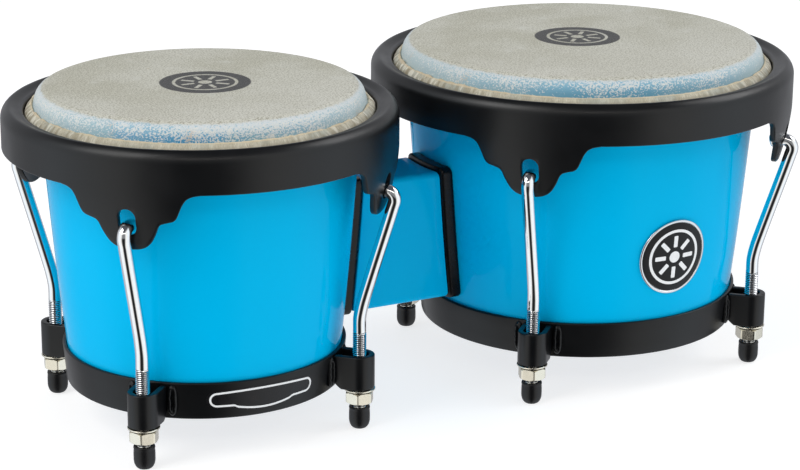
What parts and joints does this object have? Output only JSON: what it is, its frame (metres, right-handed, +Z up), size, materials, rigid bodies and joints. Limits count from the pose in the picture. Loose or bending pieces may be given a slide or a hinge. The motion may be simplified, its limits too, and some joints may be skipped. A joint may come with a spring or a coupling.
{
  "type": "pair of bongo drums",
  "caption": "Pair of tunable hand drums of unequal size joined by a block, with skin heads, black counterhoops, hooked tuning rods, nuts and rubber feet.",
  "frame": {"origin": "middle of the pair's bounding box, on the floor under the rubber feet", "axes": "+X from the small drum's axis to the large drum's axis, +Y away from the badge, +Z up along both drums' axes"},
  "size_m": [0.4348, 0.2262, 0.173],
  "materials": {
    "blue_shell": "high-gloss moulded fibreglass, clear over bright blue",
    "black_powder_coat": "semi-matte black powder coat on steel",
    "rawhide": "scraped natural skin, beige-grey, with a paler folded collar",
    "chrome": "bright plated steel rod",
    "nickel": "warm bright plating, nuts and cup washers",
    "black_rubber": "black rubber, slightly shiny",
    "steel": "plain zinc-plated steel, hidden inside",
    "black_gasket": "smooth black moulded rubber",
    "badge": "black disc with a silver rim, no lettering"
  },
  "bodies": {
    "drums": {"centre_block": "blue_shell", "through_bolt_upper": "steel", "through_nut_upper": "steel", "through_bolt_lower": "steel", "through_nut_lower": "steel", "hembra_badge": "badge", "macho_shell": "blue_shell", "macho_head": "rawhide", "macho_bottom_ring": "black_powder_coat", "macho_gasket": "black_gasket", "macho_bracket_front_left": "black_powder_coat", "macho_washer_front_left": "nickel", "macho_bracket_front_right": "black_powder_coat", "macho_washer_front_right": "nickel", "macho_bracket_back_right": "black_powder_coat", "macho_washer_back_right": "nickel", "macho_bracket_back_left": "black_powder_coat", "macho_washer_back_left": "nickel", "hembra_shell": "blue_shell", "hembra_head": "rawhide", "hembra_bottom_ring": "black_powder_coat", "hembra_gasket": "black_gasket", "hembra_bracket_front_left": "black_powder_coat", "hembra_washer_front_left": "nickel", "hembra_bracket_front_right": "black_powder_coat", "hembra_washer_front_right": "nickel", "hembra_bracket_back_right": "black_powder_coat", "hembra_washer_back_right": "nickel", "hembra_bracket_back_left": "black_powder_coat", "hembra_washer_back_left": "nickel"},
    "macho_hoop_and_rods": {"macho_counterhoop": "black_powder_coat", "macho_flesh_ring": "steel", "macho_rod_front_left": "chrome", "macho_cap_front_left": "black_rubber", "macho_rod_front_right": "chrome", "macho_cap_front_right": "black_rubber", "macho_rod_back_right": "chrome", "macho_cap_back_right": "black_rubber", "macho_rod_back_left": "chrome", "macho_cap_back_left": "black_rubber"},
    "macho_nut_front_left": {"macho_nut_front_left": "nickel"},
    "macho_nut_front_right": {"macho_nut_front_right": "nickel"},
    "macho_nut_back_right": {"macho_nut_back_right": "nickel"},
    "macho_nut_back_left": {"macho_nut_back_left": "nickel"},
    "hembra_hoop_and_rods": {"hembra_counterhoop": "black_powder_coat", "hembra_flesh_ring": "steel", "hembra_rod_front_left": "chrome", "hembra_cap_front_left": "black_rubber", "hembra_rod_front_right": "chrome", "hembra_cap_front_right": "black_rubber", "hembra_rod_back_right": "chrome", "hembra_cap_back_right": "black_rubber", "hembra_rod_back_left": "chrome", "hembra_cap_back_left": "black_rubber"},
    "hembra_nut_front_left": {"hembra_nut_front_left": "nickel"},
    "hembra_nut_front_right": {"hembra_nut_front_right": "nickel"},
    "hembra_nut_back_right": {"hembra_nut_back_right": "nickel"},
    "hembra_nut_back_left": {"hembra_nut_back_left": "nickel"}
  },
  "joints": [
    {"name": "macho_tuning", "type": "slide", "parent": "drums", "child": "macho_hoop_and_rods", "axis": [0, 0, 1], "range_m": [-0.006, 0.0015], "deforming": ["macho_head"]},
    {"name": "macho_nut_front_left_turn", "type": "hinge", "parent": "drums", "child": "macho_nut_front_left", "pos_m": [-0.17724, -0.05869, 0.01665], "axis": [0, 0, 1], "continuous": true},
    {"name": "macho_nut_front_right_turn", "type": "hinge", "parent": "drums", "child": "macho_nut_front_right", "pos_m": [-0.05986, -0.05869, 0.01665], "axis": [0, 0, 1], "continuous": true},
    {"name": "macho_nut_back_right_turn", "type": "hinge", "parent": "drums", "child": "macho_nut_back_right", "pos_m": [-0.05986, 0.05869, 0.01665], "axis": [0, 0, 1], "continuous": true},
    {"name": "macho_nut_back_left_turn", "type": "hinge", "parent": "drums", "child": "macho_nut_back_left", "pos_m": [-0.17724, 0.05869, 0.01665], "axis": [0, 0, 1], "continuous": true},
    {"name": "hembra_tuning", "type": "slide", "parent": "drums", "child": "hembra_hoop_and_rods", "axis": [0, 0, 1], "range_m": [-0.006, 0.0015], "deforming": ["hembra_head"]},
    {"name": "hembra_nut_front_left_turn", "type": "hinge", "parent": "drums", "child": "hembra_nut_front_left", "pos_m": [0.03562, -0.06873, 0.01665], "axis": [0, 0, 1], "continuous": true},
    {"name": "hembra_nut_front_right_turn", "type": "hinge", "parent": "drums", "child": "hembra_nut_front_right", "pos_m": [0.17308, -0.06873, 0.01665], "axis": [0, 0, 1], "continuous": true},
    {"name": "hembra_nut_back_right_turn", "type": "hinge", "parent": "drums", "child": "hembra_nut_back_right", "pos_m": [0.17308, 0.06873, 0.01665], "axis": [0, 0, 1], "continuous": true},
    {"name": "hembra_nut_back_left_turn", "type": "hinge", "parent": "drums", "child": "hembra_nut_back_left", "pos_m": [0.03562, 0.06873, 0.01665], "axis": [0, 0, 1], "continuous": true}
  ],
  "couplings": [
    {"joint": "macho_nut_front_left_turn", "follows": "macho_tuning", "rad_per_m": -6283.2},
    {"joint": "macho_nut_front_right_turn", "follows": "macho_tuning", "rad_per_m": -6283.2},
    {"joint": "macho_nut_back_right_turn", "follows": "macho_tuning", "rad_per_m": -6283.2},
    {"joint": "macho_nut_back_left_turn", "follows": "macho_tuning", "rad_per_m": -6283.2},
    {"joint": "hembra_nut_front_left_turn", "follows": "hembra_tuning", "rad_per_m": -6283.2},
    {"joint": "hembra_nut_front_right_turn", "follows": "hembra_tuning", "rad_per_m": -6283.2},
    {"joint": "hembra_nut_back_right_turn", "follows": "hembra_tuning", "rad_per_m": -6283.2},
    {"joint": "hembra_nut_back_left_turn", "follows": "hembra_tuning", "rad_per_m": -6283.2}
  ]
}
